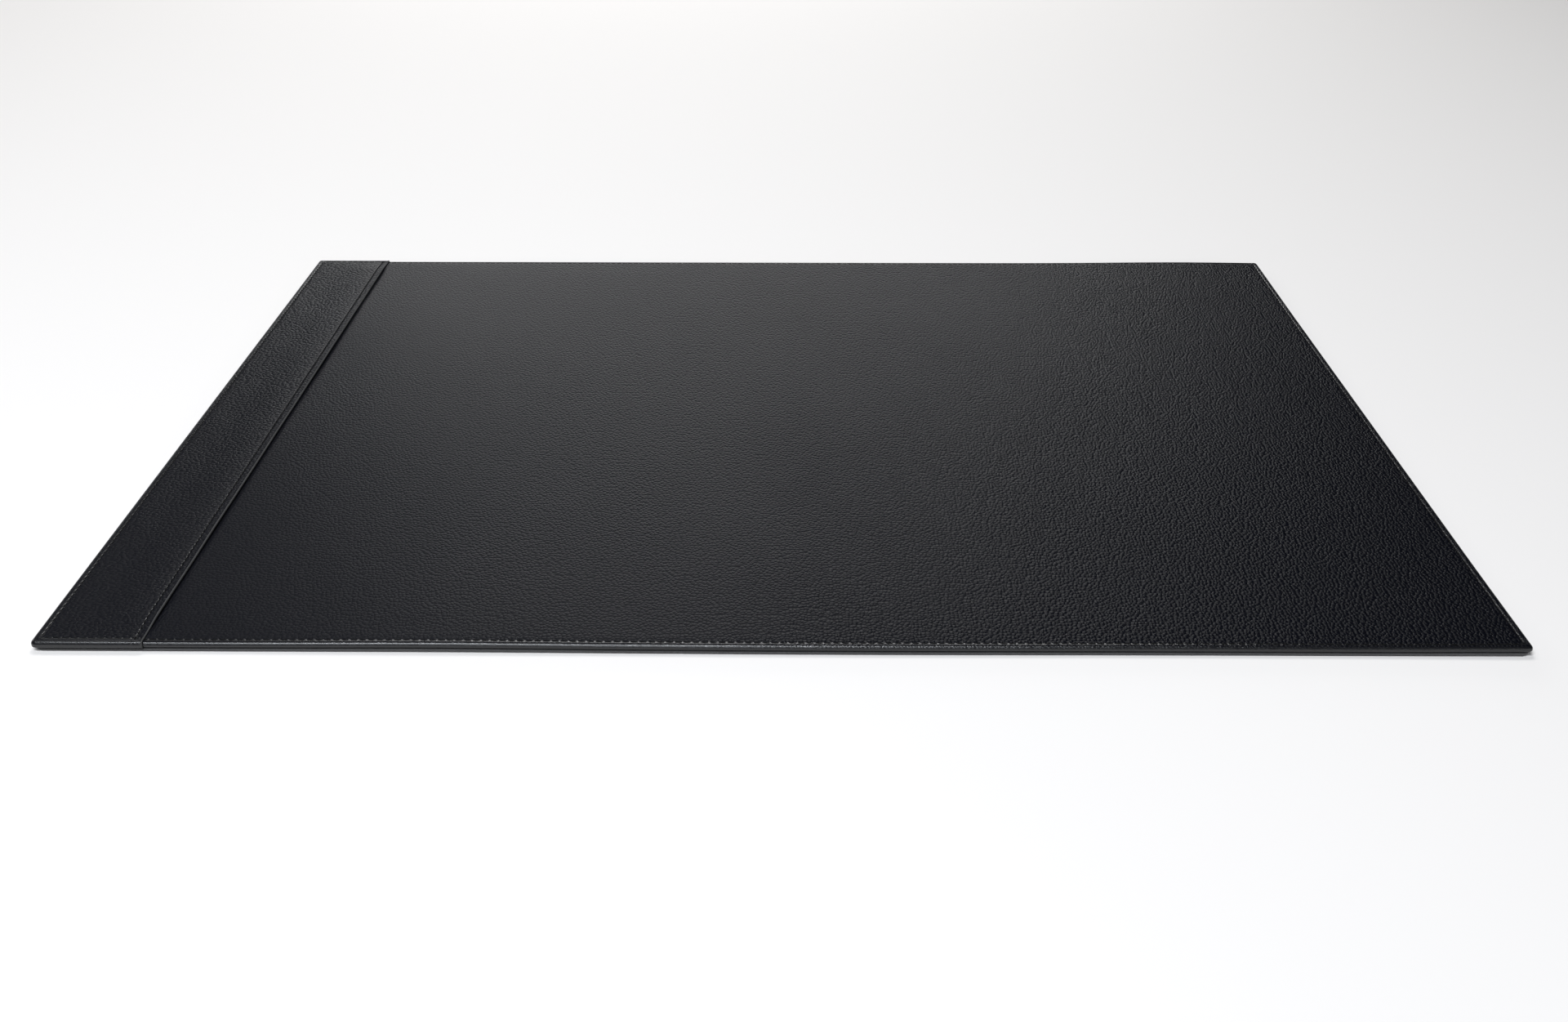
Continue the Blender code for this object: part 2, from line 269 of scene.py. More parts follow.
def read_mesh(mesh):
    """A mesh's points, their normals, and its faces as lists of numbers."""
    points = np.zeros(len(mesh.vertices) * 3)
    mesh.vertices.foreach_get("co", points)
    normals = np.array([v.vector for v in mesh.vertex_normals])
    starts = np.zeros(len(mesh.polygons), int)
    totals = np.zeros(len(mesh.polygons), int)
    corners = np.zeros(len(mesh.loops), int)
    mesh.polygons.foreach_get("loop_start", starts)
    mesh.polygons.foreach_get("loop_total", totals)
    mesh.loops.foreach_get("vertex_index", corners)
    corners = corners.tolist()
    faces = [corners[s:s + n] for s, n in zip(starts.tolist(), totals.tolist())]
    return points.reshape(-1, 3), normals, faces


def two_skins(outer, inner, faces):
    """A closed sheet from an open surface: both skins, and the cut edge between them."""
    count = len(outer)
    sides = dict.fromkeys((a, b) for face in faces for a, b in zip(face, face[1:] + face[:1]))
    cut = [(a, b) for a, b in sides if (b, a) not in sides]
    under = [[n + count for n in reversed(face)] for face in faces]
    rim = [[b, a, a + count, b + count] for a, b in cut]
    return np.vstack([outer, inner]), faces + under + rim


def finish_piece(name, points, faces, materials, choice=None):
    """A smooth object that rides on the mat. choice gives each face's number in the list of materials."""
    mesh = bpy.data.meshes.new(name)
    mesh.from_pydata(lie(points).tolist(), [], faces)
    for material in materials:
        mesh.materials.append(material)
    if choice is not None:
        mesh.polygons.foreach_set("material_index", choice)
    mesh.shade_smooth()
    piece = bpy.data.objects.new(name, mesh)
    bpy.context.scene.collection.objects.link(piece)
    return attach(piece, "root")


# ---------------------------------------------------------------- stitch lines

STITCH_LOW = np.array([PANEL[0][0] + EDGE_MARGIN, PANEL[0][1] + EDGE_MARGIN])
STITCH_HIGH = np.array([COVER[1][0] - EDGE_MARGIN, PANEL[1][1] - EDGE_MARGIN])
EDGE_STITCHES = [round((run - 2 * STITCH_CORNER) / PITCH) for run in STITCH_HIGH - STITCH_LOW]


def leather_choice(points, grain_faces, face_count):
    """Material numbers for a leather piece: 0 pebbled, 1 inner side, 2 pressed smooth and painted a lighter
    black as painted light.
    """
    x, y, _ = np.array([points[face].mean(0) for face in grain_faces]).T
    outside = np.max([np.abs(y) - STITCH_HIGH[1], x - STITCH_HIGH[0], STITCH_LOW[0] - x], 0)
    smooth = (outside > ROLLED_FROM) | ((outside > SEWN_FROM) & (outside < SEWN_TO))
    smooth |= np.abs(x - HEM_LINE) < -SEWN_FROM
    return (2 * smooth).tolist() + [1] * (face_count - len(grain_faces))


def edge_lines():
    """The four straight stitch lines, each as start, end and number of stitches."""
    (x0, y0), (x1, y1) = STITCH_LOW, STITCH_HIGH
    c = STITCH_CORNER
    across, along = EDGE_STITCHES
    return [
        ((x0 + c, y0), (x1 - c, y0), across),
        ((x1, y0 + c), (x1, y1 - c), along),
        ((x1 - c, y1), (x0 + c, y1), across),
        ((x0, y1 - c), (x0, y0 + c), along),
    ]


def hem_line():
    """The hem's stitch line as start, end and number of stitches, in step with the rows of the mesh."""
    inside = STITCH_HIGH[1] - GRID_MARGIN
    rows = EDGE_STITCHES[1]
    pitch = 2 * inside / rows
    extra = math.floor((STITCH_HIGH[1] - inside) / pitch)
    reach = inside + extra * pitch
    return (HEM_LINE, -reach), (HEM_LINE, reach), rows + 2 * extra


def dents(flat, lines):
    """How far the stitching pulls the surface in: a soft pucker, and a groove below each stitch.

    Between two stitches the leather closes over the needle hole in a slanting bridge."""
    deepest = np.zeros(len(flat))
    for start, end, stitches in lines:
        start, end = np.array(start), np.array(end)
        length = np.linalg.norm(end - start)
        way = (end - start) / length
        along = (flat - start) @ way
        aside = (flat - start) @ np.array([-way[1], way[0]])
        beyond = np.maximum(0, np.maximum(-along, along - length))
        away = np.hypot(aside, beyond)
        pitch = length / stitches
        to_hole = (along / pitch - np.round(along / pitch)) * pitch
        bridge = bell(to_hole + BRIDGE_SLANT * aside, BRIDGE_WIDTH)
        depth = GROOVE_DEPTH * bell(away, GROOVE_WIDTH) * (1 - bridge)
        depth += PUCKER_DEPTH * bell(away, PUCKER_WIDTH)
        deepest = np.maximum(deepest, depth)
    return deepest


# ---------------------------------------------------------------- surface heights

def cover_surface(x, y):
    """Height of the main leather's grain side before stitching."""
    inside = smoothstep(4 * MM, 30 * MM, np.minimum(COVER[1][0] - x, COVER[1][1] - np.abs(y)))
    return COVER[1][2] + 0.16 * MM * inside * waves(x, y, wavelength=150 * MM, seed=11)


def panel_surface(x, y):
    """Height of the panel's grain side: it rises to the hem, and the edge stitching holds its ends down.

    Its unevenness is long from side to side, and fades by half towards the hem."""
    to_end = PANEL[1][1] - np.abs(y)
    free = smoothstep(5 * MM, 24 * MM, to_end)
    at_hem = smoothstep(HEM_EDGE - HEM_SHOULDER - HEM_RETURN, HEM_EDGE - HEM_RETURN, x)
    rise = (PANEL[1][2] - PANEL_LOW_TOP) * at_hem * free
    inside = smoothstep(4 * MM, 16 * MM, np.minimum(to_end, x - PANEL[0][0]))
    stretch = 0.5 + 0.5 * smoothstep(HEM_EDGE - HEM_RETURN, HEM_EDGE - HEM_SHOULDER, x)
    uneven = waves(0.35 * x, y, wavelength=75 * MM, seed=5)
    return PANEL_LOW_TOP + rise + 0.22 * MM * inside * stretch * uneven


def hem_thickness(y):
    """The panel leather is skived towards its two ends."""
    full = smoothstep(6 * MM, 22 * MM, PANEL[1][1] - np.abs(y))
    return PANEL_SKIVED + (PANEL_THICKNESS - PANEL_SKIVED) * full


# ---------------------------------------------------------------- main leather

def stitch_offsets():
    """Distances from a stitch line at which rings run, closer together in the groove."""
    near = np.array([0, 0.12, 0.28, 0.45, 0.65, 0.9, 1.2]) * MM
    return np.concatenate([-near[:0:-1], near])


def edge_rounds(top, top_round):
    """Inset and height down a rolled edge: top round, wall, lower round and turn-in."""
    over = np.radians(np.linspace(90, 0, TOP_ROUND_POINTS))
    under = np.radians(np.linspace(0, -90, UNDER_ROUND_POINTS))
    inset = [top_round * (1 - np.cos(over)), UNDER_ROUND * (1 - np.cos(under))]
    height = [top - top_round * (1 - np.sin(over)), LOWER_EDGE + UNDER_ROUND * (1 + np.sin(under))]
    turn = np.array([2.5 * MM, 5 * MM, TURN_IN])
    return (
        np.concatenate([*inset, turn]),
        np.concatenate([*height, [(LOWER_EDGE + TURN_IN_LEVEL) / 2, TURN_IN_LEVEL, TURN_IN_LEVEL]]),
    )


def ring_rectangle(offset):
    """Corners and corner radius of the ring at a distance outside the stitch line."""
    radius = max(STITCH_CORNER + ROUND_SLOPE * offset, 0)
    return STITCH_LOW - offset, STITCH_HIGH + offset, radius


def make_cover(materials):
    """The main leather: its top, its rolled edges and its turn-ins, which stop at the panel."""
    surface = Surface()
    low, high, _ = ring_rectangle(-GRID_MARGIN)
    xs = np.linspace(low[0], high[0], EDGE_STITCHES[0] * WIDE + 1)
    ys = np.linspace(low[1], high[1], EDGE_STITCHES[1] * WIDE + 1)
    surface.grid(xs, ys, COVER[1][2])
    rings = [surface.ring(closed_loop(low, high, 0, EDGE_STITCHES, WIDE), COVER[1][2])]
    for offset in (-5.5 * MM, -3.6 * MM, -2.2 * MM):
        rings.append(surface.ring(closed_loop(*ring_rectangle(offset), EDGE_STITCHES, MIDDLE), COVER[1][2]))
    for offset in stitch_offsets():
        rings.append(surface.ring(closed_loop(*ring_rectangle(offset), EDGE_STITCHES, FINE), COVER[1][2]))
    insets, heights = edge_rounds(COVER[1][2], COVER_TOP_ROUND)
    for inset, height in zip(insets, heights):
        radius = max(COVER_CORNER - ROUND_SLOPE * inset, 0)
        loop = closed_loop(COVER[0][:2] + inset, COVER[1][:2] - inset, radius, EDGE_STITCHES, MIDDLE)
        for side in (loop[:, 1] < COVER[0][1] + TURN_IN + MM, loop[:, 1] > COVER[1][1] - TURN_IN - MM):
            nearest = np.argmin(np.where(side, np.abs(loop[:, 0] - HEM_EDGE), 1))
            loop[nearest, 0] = COVER_CUT
        rings.append(surface.ring(loop, height))
    for before, after in zip(rings, rings[1:]):
        surface.bridge(before, after)

    points = surface.points()
    centres = np.array([points[face].mean(0) for face in surface.faces])
    below_panel = (centres[:, 0] < COVER_CUT) & (centres[:, 2] < LOWER_EDGE + UNDER_ROUND)
    surface.faces = [face for face, gone in zip(surface.faces, below_panel) if not gone]

    base, normals, faces = read_mesh(surface.mesh("cover_base"))
    on_top = base[:, 2] > COVER[1][2] - 0.5 * COVER_TOP_ROUND
    base[:, 2] += np.where(on_top, cover_surface(base[:, 0], base[:, 1]) - COVER[1][2], 0)
    depth = np.where(on_top, dents(base[:, :2], edge_lines()), 0)
    outer = base - normals * depth[:, None]
    skived = 1 - smoothstep(LOWER_EDGE + UNDER_ROUND, LOWER_EDGE + 2 * UNDER_ROUND, base[:, 2])
    inner = base - normals * (COVER_THICKNESS + (SKIVED - COVER_THICKNESS) * skived)[:, None]
    used = np.unique(np.concatenate([np.array(f) for f in faces]))
    renumber = np.full(len(base), -1)
    renumber[used] = np.arange(len(used))
    faces = [renumber[face].tolist() for face in faces]
    points, all_faces = two_skins(outer[used], inner[used], faces)
    choice = leather_choice(points, faces, len(all_faces))
    cover = finish_piece("main_leather", points, all_faces, materials, choice)
    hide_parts("top_cover")
    return cover


# ---------------------------------------------------------------- side panel

def panel_columns(start, end):
    """Shares of the panel's front side at which columns run, closer together at the hem's stitch line."""
    first = STITCH_LOW[0] + STITCH_CORNER
    pitch = (STITCH_HIGH[0] - STITCH_CORNER - first) / EDGE_STITCHES[0]
    plain = np.arange(first, end - 0.3 * MM, pitch / FINE)
    shares = (plain - first) / (end - first)
    line = (HEM_LINE + stitch_offsets() - start) / (end - start)
    apart = np.abs(shares[:, None] - line[None, :]).min(1) > 0.2 * MM / (end - start)
    return np.unique(np.concatenate([shares[apart], line, [0.0, 1.0]]))


def make_panel(materials):
    """The side panel: wrapped over three edges, its free edge turned under into a hem."""
    surface = Surface()
    end = HEM_EDGE - PANEL_THICKNESS - HEM_SLACK
    low, high, _ = ring_rectangle(-GRID_MARGIN)
    high = np.array([end, high[1]])
    columns = panel_columns(low[0], end)
    rows = EDGE_STITCHES[1] * FINE
    xs = low[0] + columns * (end - low[0])
    ys = np.linspace(low[1], high[1], rows + 1)
    grid = surface.grid(xs, ys, PANEL_LOW_TOP)
    rings = [surface.ring(open_loop(low, high, 0, columns, rows), PANEL_LOW_TOP)]
    for offset in (-6.5 * MM, -5 * MM, -3.6 * MM, -2.6 * MM, -1.8 * MM, *stitch_offsets()):
        low, high, radius = ring_rectangle(offset)
        loop = open_loop(low, np.array([end, high[1]]), radius, columns, rows)
        rings.append(surface.ring(loop, PANEL_LOW_TOP))
    insets, heights = edge_rounds(PANEL_LOW_TOP, PANEL_TOP_ROUND)
    for inset, height in zip(insets, heights):
        radius = max(PANEL_CORNER - ROUND_SLOPE * inset, 0)
        loop = open_loop(PANEL[0][:2] + inset, np.array([end, PANEL[1][1] - inset]), radius, columns, rows)
        rings.append(surface.ring(loop, height))
    for before, after in zip(rings, rings[1:]):
        surface.bridge(before, after, closed=False)

    section = [ring[0] for ring in reversed(rings)] + list(grid[-2:0:-1, -1]) + [ring[-1] for ring in rings]
    add_hem(surface, np.array(section))
    base, normals, faces = read_mesh(surface.mesh("panel_base"))
    on_top = base[:, 2] > PANEL_LOW_TOP - 3 * PANEL_THICKNESS
    to_edge = np.minimum(PANEL[1][1] - np.abs(base[:, 1]), base[:, 0] - PANEL[0][0])
    on_top &= to_edge > 0.6 * PANEL_TOP_ROUND
    rise = panel_surface(base[:, 0], base[:, 1]) - PANEL_LOW_TOP
    base[:, 2] += np.where(on_top, rise, 0)
    upper = on_top & (normals[:, 2] > 0.5)
    depth = np.where(upper, dents(base[:, :2], [*edge_lines(), hem_line()]), 0)
    outer = base - normals * depth[:, None]
    inner = base - normals * hem_thickness(base[:, 1])[:, None]
    points, all_faces = two_skins(outer, inner, faces)
    choice = leather_choice(points, faces, len(all_faces))
    panel = finish_piece("panel_leather", points, all_faces, materials, choice)
    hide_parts("side_panel", "side_panel_turn_ins")
    return panel


def add_hem(surface, section):
    """Rolls the panel's free edge under, along its section from the back wall over the top to the front."""
    points = surface.points()[section]
    tangent = np.gradient(points[:, 1:], axis=0)
    tangent /= np.linalg.norm(tangent, axis=1)[:, None]
    inward = np.column_stack([np.zeros(len(points)), -tangent[:, 1], tangent[:, 0]])
    radius = (hem_thickness(points[:, 1]) + HEM_SLACK)[:, None]
    sideways = np.array([1.0, 0, 0])
    before = section
    for angle in np.radians(np.linspace(0, 180, 9))[1:]:
        rolled = points + inward * radius * (1 - math.cos(angle)) + sideways * radius * math.sin(angle)
        after = surface.add(rolled)
        surface.bridge(before, after, closed=False)
        before = after
    for back in (0.35 * HEM_RETURN, 0.7 * HEM_RETURN, HEM_RETURN):
        after = surface.add(points + inward * radius * 2 - sideways * back)
        surface.bridge(before, after, closed=False)
        before = after


# ---------------------------------------------------------------- flat sheets

def make_slab(name, box, corner, soften, materials, line=False):
    """A flat sheet with softened edges. With line set, the edge stitching dents its underside."""
    low, high = box
    surface = Surface()
    inner_low, inner_high = low[:2] + SLAB_MARGIN, high[:2] - SLAB_MARGIN
    xs = np.linspace(inner_low[0], inner_high[0], EDGE_STITCHES[0] * WIDE + 1)
    ys = np.linspace(inner_low[1], inner_high[1], EDGE_STITCHES[1] * WIDE + 1)
    surface.grid(xs, ys, high[2])
    rings = [surface.ring(closed_loop(inner_low, inner_high, 0, EDGE_STITCHES, WIDE), high[2])]
    over = np.radians(np.linspace(90, 0, 5))
    inward, downward = soften * (1 - np.cos(over)), soften * (1 - np.sin(over))
    insets = np.concatenate([inward, inward[::-1]])
    heights = np.concatenate([high[2] - downward, low[2] + downward[::-1]])
    for inset, height in zip(insets, heights):
        radius = max(corner - inset, 0)
        loop = closed_loop(low[:2] + inset, high[:2] - inset, radius, EDGE_STITCHES, MIDDLE)
        rings.append(surface.ring(loop, height))
    if line:
        for offset in stitch_offsets()[::-1]:
            rings.append(surface.ring(closed_loop(*ring_rectangle(offset), EDGE_STITCHES, FINE), low[2]))
        rings.append(surface.ring(closed_loop(*ring_rectangle(-2.2 * MM), EDGE_STITCHES, MIDDLE), low[2]))
    rings.append(surface.ring(closed_loop(inner_low, inner_high, 0, EDGE_STITCHES, WIDE), low[2]))
    for before, after in zip(rings, rings[1:]):
        surface.bridge(before, after)
    surface.grid(xs, ys, low[2], facing_up=False)
    base, normals, faces = read_mesh(surface.mesh(name + "_base"))
    if line:
        under = base[:, 2] < low[2] + 0.1 * soften
        base -= normals * np.where(under, dents(base[:, :2], edge_lines()), 0)[:, None]
    return finish_piece(name, base, faces, materials)


# ---------------------------------------------------------------- threads

def run_along(path):
    """Each point's distance along the path."""
    return np.concatenate([[0], np.cumsum(np.linalg.norm(np.diff(path, axis=0), axis=1))])


def make_thread(name, path, ups, holes, material, sunk, sides=10):
    """A three-ply thread along a path. Each stitch rises out of a needle hole and dives into the next."""
    at = run_along(path)

    def along(values, places):
        """The values at these distances along the path."""
        return np.column_stack([np.interp(places, at, values[:, i]) for i in range(3)])

    share = np.array(STITCH_SHARES)
    rise = 1 - np.abs(2 * share - 1) ** 5
    lengths = np.diff(holes)
    places = (holes[:-1, None] + lengths[:, None] * share[None, :]).ravel()
    places = np.append(places, holes[-1])
    height = np.append(np.tile(rise, len(lengths)), 0)
    slant = np.append(np.tile(0.5 - share, len(lengths)), 0.5)
    base, up = along(path, places), along(ups, places)
    up /= np.linalg.norm(up, axis=1)[:, None]
    ahead = along(path, np.minimum(places + THREAD_REACH, at[-1]))
    way = ahead - along(path, np.maximum(places - THREAD_REACH, 0))
    aside = np.cross(up, way)
    aside /= np.linalg.norm(aside, axis=1)[:, None]
    lowered = sunk + STITCH_RISE * (1 - height)
    centre = base - up * lowered[:, None] + aside * (STITCH_SLANT * slant)[:, None]
    tangent = np.gradient(centre, axis=0)
    tangent -= aside * (tangent * aside).sum(1)[:, None]
    tangent /= np.linalg.norm(tangent, axis=1)[:, None]
    over = np.cross(tangent, aside)
    turned = run_along(centre)
    angle = np.linspace(0, 2 * math.pi, sides, endpoint=False)[None, :]
    ply = THREAD_RADIUS * (1 + PLY_DEPTH * np.cos(3 * angle - 2 * math.pi * turned[:, None] / PLY_LENGTH))
    points = (
        centre[:, None]
        + aside[:, None] * (ply * np.cos(angle))[:, :, None]
        + over[:, None] * (ply * np.sin(angle))[:, :, None]
    ).reshape(-1, 3)
    rings = np.arange(len(points)).reshape(-1, sides)
    a, b = rings[:-1], rings[1:]
    faces = np.stack([a, np.roll(a, -1, 1), np.roll(b, -1, 1), b], -1).reshape(-1, 4).tolist()
    faces += [rings[0][::-1].tolist(), rings[-1].tolist()]
    thread = finish_piece(name, points, faces, [material])
    return thread


def edge_path():
    """The edge stitch line as a closed run of points, with the places of its needle holes along it."""
    loop = closed_loop(STITCH_LOW, STITCH_HIGH, STITCH_CORNER, EDGE_STITCHES, FINE)
    loop = np.vstack([loop, loop[:1]])
    at = run_along(loop)
    turn, holes, first = CORNER_STEPS * FINE, [], 0
    for stitches in EDGE_STITCHES * 2:
        holes.append(at[first:first + stitches * FINE + 1:FINE])
        first += stitches * FINE + turn
    holes.append(at[-1:])
    return loop, np.concatenate(holes)


def make_edge_threads(material):
    """The upper and lower thread of the stitch line round all four sides."""
    loop, holes = edge_path()
    x, y = loop.T
    on_panel = 1 - smoothstep(HEM_EDGE - 0.8 * MM, HEM_EDGE + 1.2 * MM, x)
    top = cover_surface(x, y) * (1 - on_panel) + panel_surface(x, y) * on_panel
    up = np.tile([0.0, 0, 1], (len(loop), 1))
    needle = make_thread("edge_stitching_top", np.column_stack([loop, top]), up, holes, material, SUNK)
    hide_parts("edge_needle_thread")
    under = np.column_stack([loop, np.full(len(loop), BACKING[0][2])])
    holes_under = (holes[-1] - holes)[::-1]
    bobbin = make_thread(
        "edge_stitching_under", under[::-1], -up, holes_under, material, SUNK + 0.1 * MM, sides=8
    )
    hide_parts("edge_bobbin_thread")


def hem_section(depth):
    """The panel's outline at the hem's stitch line, at a depth inside its grain side, with its normals."""
    insets, heights = edge_rounds(PANEL_LOW_TOP, PANEL_TOP_ROUND)
    on_wall = TOP_ROUND_POINTS + UNDER_ROUND_POINTS - 2
    wall = np.column_stack([PANEL[1][1] - insets[:on_wall], heights[:on_wall]])
    span = np.linspace(STITCH_HIGH[1], -STITCH_HIGH[1], HEM_SECTION_STEPS)
    top = np.column_stack([span, panel_surface(np.full_like(span, HEM_LINE), span)])
    front = wall * [-1, 1]
    outline = np.vstack([wall[::-1], top, front])
    tangent = np.gradient(outline, axis=0)
    tangent /= np.linalg.norm(tangent, axis=1)[:, None]
    normal = np.column_stack([tangent[:, 1], -tangent[:, 0]])
    outline = outline - normal * np.broadcast_to(depth, len(outline))[:, None]
    return (
        np.column_stack([np.full(len(outline), HEM_LINE), outline]),
        np.column_stack([np.zeros(len(outline)), normal]),
    )


def make_panel_threads(material):
    """The upper and lower thread of the hem. The lower one's shorter way keeps the upper one's stitches."""
    points, normals = hem_section(0.0)
    at = run_along(points)
    start, end, stitches = hem_line()
    pitch = (end[1] - start[1]) / stitches
    first = np.interp(-end[1], -points[:, 1], at)
    holes = np.arange(first % pitch, at[-1], pitch)
    needle = make_thread("hem_stitching_top", points, normals, holes, material, SUNK)
    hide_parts("panel_needle_thread")
    inside = 2 * (hem_thickness(points[:, 1]) + HEM_SLACK)
    below, _ = hem_section(inside)
    at_below = run_along(below)
    holes_below = at_below[-1] - np.interp(holes, at, at_below)
    holes_below = holes_below[::-1]
    bobbin = make_thread(
        "hem_stitching_under", below[::-1], -normals[::-1], holes_below, material, 0.1 * MM, sides=8
    )
    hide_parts("panel_bobbin_thread")


# ---------------------------------------------------------------- materials

class Nodes:
    """Short ways to add shader nodes to one material."""

    def __init__(self, name):
        self.material = bpy.data.materials.new(name)
        self.material.use_nodes = True
        self.tree = self.material.node_tree
        self.shader = self.tree.nodes["Principled BSDF"]

    def add(self, kind, **inputs):
        """A node with its input sockets set: a value, or another node's socket to link."""
        node = self.tree.nodes.new(kind)
        for key, value in inputs.items():
            self.set(node, key.replace("_", " "), value)
        return node

    def set(self, node, key, value):
        """Links a socket to a node's input, or sets the input's value. key is a name or a number."""
        socket = node.inputs[int(key)] if key.isdigit() else node.inputs[key]
        if isinstance(value, bpy.types.NodeSocket):
            self.tree.links.new(value, socket)
        else:
            socket.default_value = value

    def place(self):
        """Where a point is on the object."""
        return self.add("ShaderNodeTexCoord").outputs["Object"]

    def maths(self, operation, first, second=0.0, third=0.0):
        """The result of a Math node."""
        node = self.tree.nodes.new("ShaderNodeMath")
        node.operation = operation
        for i, value in enumerate((first, second, third)):
            self.set(node, str(i), value)
        return node.outputs[0]

    def scaled(self, vector, scale):
        """A vector with each of its axes scaled by its own number."""
        return self.maths_vector("MULTIPLY", vector, scale)

    def maths_vector(self, operation, *values):
        """The result of a Vector Math node."""
        node = self.tree.nodes.new("ShaderNodeVectorMath")
        node.operation = operation
        for i, value in enumerate(values):
            self.set(node, str(i), value)
        return node.outputs[0]

    def sheared(self, place):
        """Flat coordinates that slide with height, so that a flat pattern also covers the walls."""
        axes = self.add("ShaderNodeSeparateXYZ", Vector=place).outputs
        slid = [self.maths("MULTIPLY_ADD", axes["Z"], 0.9, axes[axis]) for axis in "XY"]
        return self.add("ShaderNodeCombineXYZ", X=slid[0], Y=slid[1]).outputs[0]

    def noise(self, vector, scale, detail=2.0, roughness=0.5):
        """Soft noise, mostly between 0.3 and 0.7."""
        node = self.add(
            "ShaderNodeTexNoise", Vector=vector, Scale=scale, Detail=detail, Roughness=roughness
        )
        return node.outputs[0]

    def voronoi(self, vector, scale, feature, randomness=1.0, flat=True):
        """A distance in a pattern of cells: to a cell's edge, or F1, to its centre."""
        node = self.tree.nodes.new("ShaderNodeTexVoronoi")
        node.feature, node.voronoi_dimensions = feature, "2D" if flat else "3D"
        for key, value in (("Vector", vector), ("Scale", scale), ("Randomness", randomness)):
            self.set(node, key, value)
        return node.outputs["Distance"]

    def remap(self, value, from_low, from_high, to_low, to_high):
        """Moves one range to another, smoothly, and holds it there outside."""
        node = self.tree.nodes.new("ShaderNodeMapRange")
        node.interpolation_type = "SMOOTHSTEP"
        for i, number in enumerate((value, from_low, from_high, to_low, to_high)):
            self.set(node, str(i), number)
        return node.outputs[0]

    def mix(self, share, first, second):
        """Mixes two colours, given as tuples or sockets."""
        node = self.tree.nodes.new("ShaderNodeMix")
        node.data_type = "RGBA"
        self.set(node, "0", share)
        self.set(node, "6", first)
        self.set(node, "7", second)
        return node.outputs[2]

    def bump(self, height, distance, strength=1.0, normal=None):
        """A normal roughened by a height, on top of another bump's normal where one is given."""
        node = self.add("ShaderNodeBump", Strength=strength, Distance=distance, Height=height)
        if normal is not None:
            self.set(node, "Normal", normal)
        return node.outputs[0]

    def plug(self, **inputs):
        """Sets the shader's inputs and returns the material."""
        for key, value in inputs.items():
            self.set(self.shader, key.replace("_", " "), value)
        return self.material


def grey(level, blue=1.0):
    """A grey, with its blue a little stronger where blue is over 1."""
    return (level, level, level * blue, 1.0)


def leather_material(name, cell, depth, roughness, specular, fine_side=1.0, tone=BLACK):
    """Black pebble-grain leather. cell is a pebble's size along X and Y, and depth is the grain's.

    The grain is fainter, by fine_side, at the hide's finer left end."""
    n = Nodes(name)
    place = n.place()
    flat = n.sheared(place)

    # Cells of uneven size, each domed between its creases and finely wrinkled.
    cells = n.scaled(flat, (1 / cell[0], 1 / cell[1], 1.0))
    wander = n.add("ShaderNodeTexNoise", Vector=cells, Scale=0.35, Detail=1.0)
    wander.noise_dimensions = "2D"
    pebbles = n.maths_vector("MULTIPLY_ADD", wander.outputs["Color"], (0.5, 0.5, 0.5), cells)
    edges = n.voronoi(pebbles, 1.0, "DISTANCE_TO_EDGE", 0.9)
    centres = n.voronoi(pebbles, 1.0, "F1", 0.9)
    crease = n.remap(edges, 0.0, 0.22, 0.0, 1.0)
    dome = n.remap(centres, 0.8, 0.0, 0.0, 1.0)
    wrinkles = n.noise(cells, 1.6, 2.0, 0.5)
    height = n.maths("MULTIPLY_ADD", crease, 0.3, dome)
    height = n.maths("MULTIPLY_ADD", wrinkles, 0.3, height)

    # The grain is deeper in some patches of the hide, and fine pores roughen all of it.
    patches = n.remap(n.noise(flat, 9.0, 2.0), 0.3, 0.7, 0.85, 1.1)
    across = n.add("ShaderNodeSeparateXYZ", Vector=place).outputs["X"]
    hide = n.remap(across, -0.28, 0.08, fine_side, 1.0)
    normal = n.bump(height, depth, n.maths("MULTIPLY", patches, hide))
    pores = n.noise(flat, 2600.0, 2.0)
    normal = n.bump(pores, 0.02 * MM, 0.4, normal)

    # Painted shade: the creases between the pebbles are painted darker, at 0.62 of the tone.
    colour = n.mix(crease, (*(0.62 * channel for channel in tone), 1.0), (*tone, 1.0))
    gloss = n.remap(pores, 0.3, 0.7, roughness - 0.02, roughness + 0.02)
    return n.plug(Base_Color=colour, Roughness=gloss, Normal=normal, IOR=1.48, Specular_IOR_Level=specular)


def flesh_material():
    """The leather's inner side: grey suede-like fibres."""
    n = Nodes("leather_flesh_side")
    place = n.place()
    fibres = n.noise(n.scaled(place, (1.0, 2.4, 1.0)), 900.0, 4.0, 0.65)
    colour = n.mix(n.remap(fibres, 0.3, 0.7, 0.0, 1.0), grey(0.025), grey(0.07))
    roughness = n.remap(fibres, 0.3, 0.7, 0.85, 0.98)
    return n.plug(Base_Color=colour, Roughness=roughness, Normal=n.bump(fibres, 0.08 * MM))


def thread_material():
    """Waxed black polyester: fine fibres along the plies."""
    n = Nodes("black_thread")
    place = n.place()
    fibres = n.noise(place, 5200.0, 3.0, 0.6)
    colour = n.mix(fibres, grey(0.002), grey(0.007, 1.06))
    return n.plug(
        Base_Color=colour,
        Roughness=n.remap(fibres, 0.3, 0.7, 0.65, 0.85),
        Normal=n.bump(fibres, 0.03 * MM),
        Specular_IOR_Level=0.1,
    )


